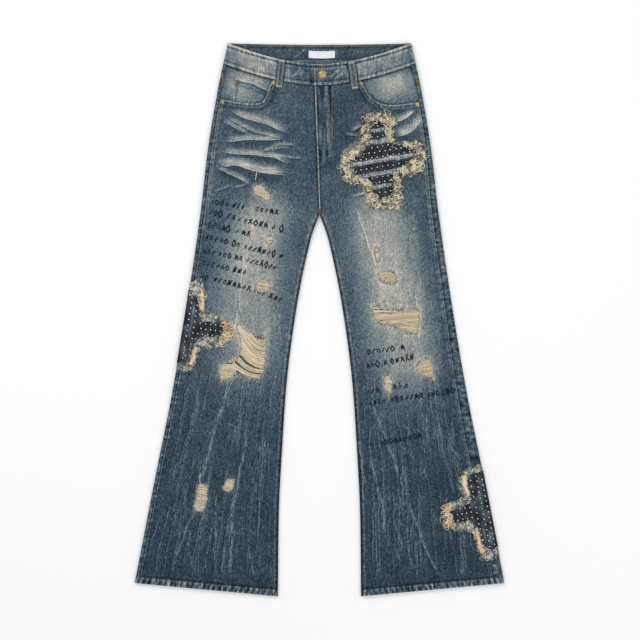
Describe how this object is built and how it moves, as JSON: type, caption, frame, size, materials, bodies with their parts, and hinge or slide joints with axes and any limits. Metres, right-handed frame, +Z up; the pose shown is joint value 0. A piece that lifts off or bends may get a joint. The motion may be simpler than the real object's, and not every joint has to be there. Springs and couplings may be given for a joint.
{
  "type": "ripped jeans",
  "caption": "Flared blue jeans laid flat, front up: ripped knees and thighs with weft threads left across, studded cross patches with frayed borders, five-pocket cut.",
  "frame": {"origin": "on the surface the garment lies on, in the middle of its outline", "axes": "+X towards the wearer's left, +Y from the hems to the waist, +Z up out of the front"},
  "size_m": [0.7202, 1.0769, 0.0129],
  "materials": {
    "denim": "faded washed twill, matt, worn pale at thighs and seams",
    "cross_cloth": "dark unwashed twill, matt, set with small studs",
    "raw_thread": "loose undyed cotton threads, matt",
    "brass": "aged, satin",
    "label": "smooth white satin tape, bare",
    "zip_tape": "dark woven tape, hidden"
  },
  "bodies": {
    "root": {"front_panel_right": "denim", "front_panel_left": "denim", "rip_threads_right_1": "raw_thread", "rip_threads_right_2": "raw_thread", "rip_threads_right_3": "raw_thread", "rip_threads_right_4": "raw_thread", "rip_threads_right_5": "raw_thread", "rip_threads_right_6": "raw_thread", "rip_threads_left_1": "raw_thread", "rip_threads_left_2": "raw_thread", "rip_threads_left_3": "raw_thread", "rip_threads_left_4": "raw_thread", "rip_threads_left_5": "raw_thread", "back_panel_right": "denim", "back_panel_left": "denim", "back_yoke_right": "denim", "back_yoke_left": "denim", "back_pocket_right": "denim", "back_pocket_left": "denim", "pocket_facing_right": "denim", "pocket_facing_left": "denim", "coin_pocket": "denim", "waistband_front_left": "denim", "waistband_front_right": "denim", "waistband_back": "denim", "waist_label": "label", "belt_loop_front_right": "denim", "belt_loop_front_left": "denim", "belt_loop_back_right": "denim", "belt_loop_back_centre": "denim", "belt_loop_back_left": "denim", "waist_button": "brass", "rivet_right_inner": "brass", "rivet_right_outer": "brass", "rivet_left_inner": "brass", "rivet_left_outer": "brass", "fly_zip": "zip_tape", "hip_cross_patch": "cross_cloth", "hip_cross_fray": "raw_thread", "knee_cross_patch": "cross_cloth", "knee_cross_fray": "raw_thread", "hem_cross_patch": "cross_cloth", "hem_cross_fray": "raw_thread"}
  },
  "joints": []
}
